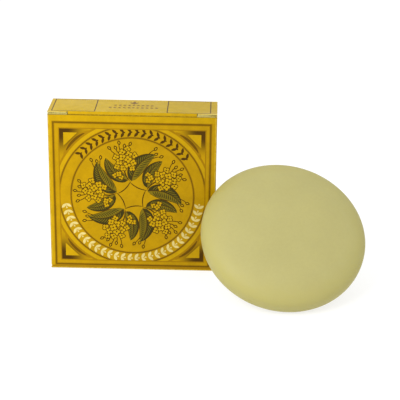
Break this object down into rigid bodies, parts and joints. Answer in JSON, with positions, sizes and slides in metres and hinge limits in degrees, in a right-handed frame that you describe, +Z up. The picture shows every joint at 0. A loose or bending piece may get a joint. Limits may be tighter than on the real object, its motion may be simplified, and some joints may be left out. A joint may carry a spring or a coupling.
{
  "type": "shaving soap puck with carton",
  "caption": "Round hard shaving soap puck with a crowned face, leaning on its flat reverse-tuck paperboard carton with a gold and brown printed front.",
  "frame": {"origin": "middle of the carton's base, on the table", "axes": "+Z up, +X to the right seen from the front, -Y out of the carton's printed front"},
  "size_m": [0.1414, 0.0691, 0.075],
  "materials": {
    "soap": "satin",
    "printed_board": "satin",
    "bare_board": "matte",
    "dried_glue": "matte"
  },
  "bodies": {
    "carton": {"front_panel": "printed_board", "back_panel": "printed_board", "left_side_panel": "printed_board", "right_side_panel": "printed_board", "glue_flap": "bare_board", "glue_line": "dried_glue"},
    "puck": {"soap_puck": "soap"},
    "top_closure": {"top_closure_panel": "printed_board"},
    "top_tongue": {"top_tuck_tongue": "printed_board"},
    "top_left_flap": {"top_left_dust_flap": "bare_board"},
    "top_right_flap": {"top_right_dust_flap": "bare_board"},
    "bottom_closure": {"bottom_closure_panel": "printed_board"},
    "bottom_tongue": {"bottom_tuck_tongue": "printed_board"},
    "bottom_left_flap": {"bottom_left_dust_flap": "bare_board"},
    "bottom_right_flap": {"bottom_right_dust_flap": "bare_board"}
  },
  "joints": [
    {"name": "puck_lift", "type": "slide", "parent": "carton", "child": "puck", "axis": [0, 0, 1], "range_m": [0, 0.09]},
    {"name": "top_closure_crease", "type": "hinge", "parent": "carton", "child": "top_closure", "pos_m": [0, 0.01035, 0.07475], "axis": [-1, 0, 0], "range_deg": [0, 175]},
    {"name": "top_tongue_crease", "type": "hinge", "parent": "top_closure", "child": "top_tongue", "pos_m": [0, -0.00975, 0.07395], "axis": [-1, 0, 0], "range_deg": [0, 70]},
    {"name": "top_left_flap_crease", "type": "hinge", "parent": "carton", "child": "top_left_flap", "pos_m": [-0.03725, 0, 0.07395], "axis": [0, -1, 0], "range_deg": [0, 87.5]},
    {"name": "top_right_flap_crease", "type": "hinge", "parent": "carton", "child": "top_right_flap", "pos_m": [0.03725, 0, 0.07395], "axis": [0, 1, 0], "range_deg": [0, 87.5]},
    {"name": "bottom_closure_crease", "type": "hinge", "parent": "carton", "child": "bottom_closure", "pos_m": [0, -0.01035, 0.00025], "axis": [-1, 0, 0], "range_deg": [0, 175]},
    {"name": "bottom_tongue_crease", "type": "hinge", "parent": "bottom_closure", "child": "bottom_tongue", "pos_m": [0, 0.00975, 0.00105], "axis": [-1, 0, 0], "range_deg": [0, 70]},
    {"name": "bottom_left_flap_crease", "type": "hinge", "parent": "carton", "child": "bottom_left_flap", "pos_m": [-0.03725, 0, 0.00105], "axis": [0, 1, 0], "range_deg": [0, 87.5]},
    {"name": "bottom_right_flap_crease", "type": "hinge", "parent": "carton", "child": "bottom_right_flap", "pos_m": [0.03725, 0, 0.00105], "axis": [0, -1, 0], "range_deg": [0, 87.5]}
  ],
  "couplings": [
    {"joint": "top_tongue_crease", "follows": "top_closure_crease", "ratio": 0.4},
    {"joint": "top_left_flap_crease", "follows": "top_closure_crease", "ratio": 0.5},
    {"joint": "top_right_flap_crease", "follows": "top_closure_crease", "ratio": 0.5},
    {"joint": "bottom_tongue_crease", "follows": "bottom_closure_crease", "ratio": 0.4},
    {"joint": "bottom_left_flap_crease", "follows": "bottom_closure_crease", "ratio": 0.5},
    {"joint": "bottom_right_flap_crease", "follows": "bottom_closure_crease", "ratio": 0.5}
  ]
}
